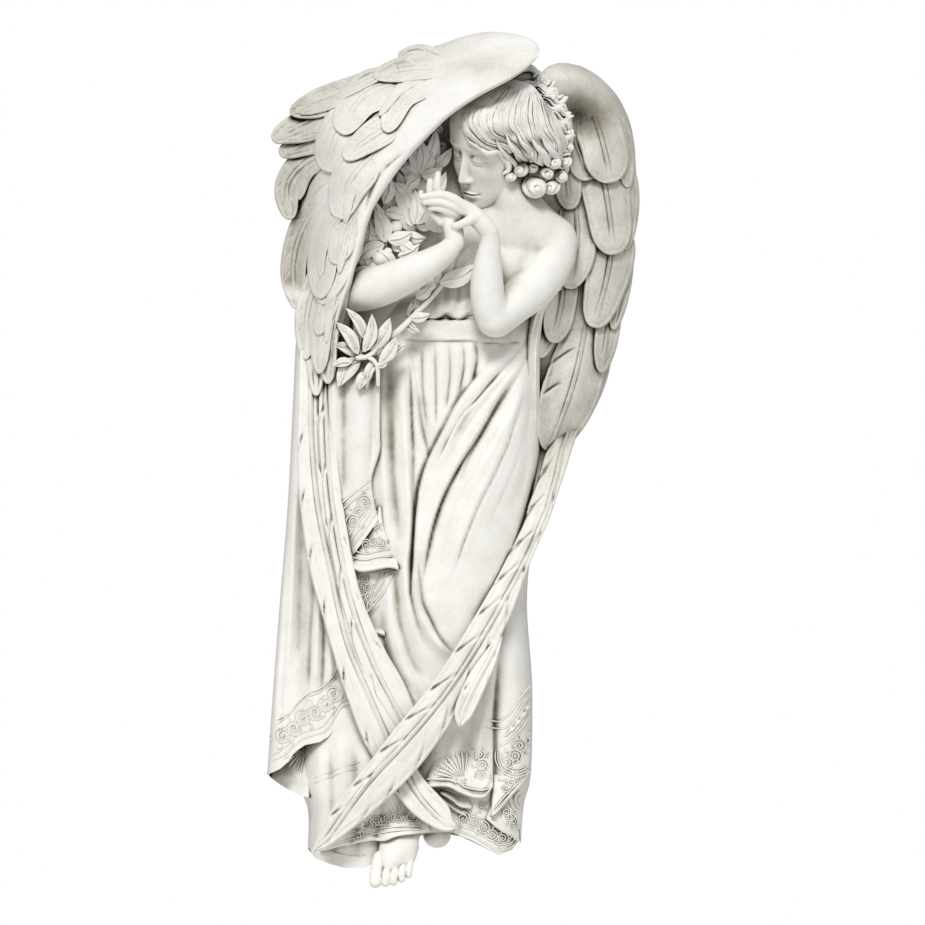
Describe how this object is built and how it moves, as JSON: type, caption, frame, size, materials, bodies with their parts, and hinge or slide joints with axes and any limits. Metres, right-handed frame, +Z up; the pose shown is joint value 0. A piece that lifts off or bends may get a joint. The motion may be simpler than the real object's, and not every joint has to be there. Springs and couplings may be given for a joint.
{
  "type": "angel wall sculpture",
  "caption": "Wall-hung high-relief angel, standing with bowed head and clasped hands, its long feathered wings folded round a draped gown; flat back.",
  "frame": {"origin": "on the flat back, at the point where it hangs on the wall, above the centre of mass", "axes": "+Z up the wall, +Y into the wall, +X to the viewer's right; the figure faces -Y"},
  "size_m": [0.3739, 0.1658, 0.8546],
  "materials": {
    "antique_cast_stone": "matt off-white cast stone and resin with a grey-brown wash left in the recesses"
  },
  "bodies": {
    "root": {"angel_relief": "antique_cast_stone"}
  },
  "joints": []
}
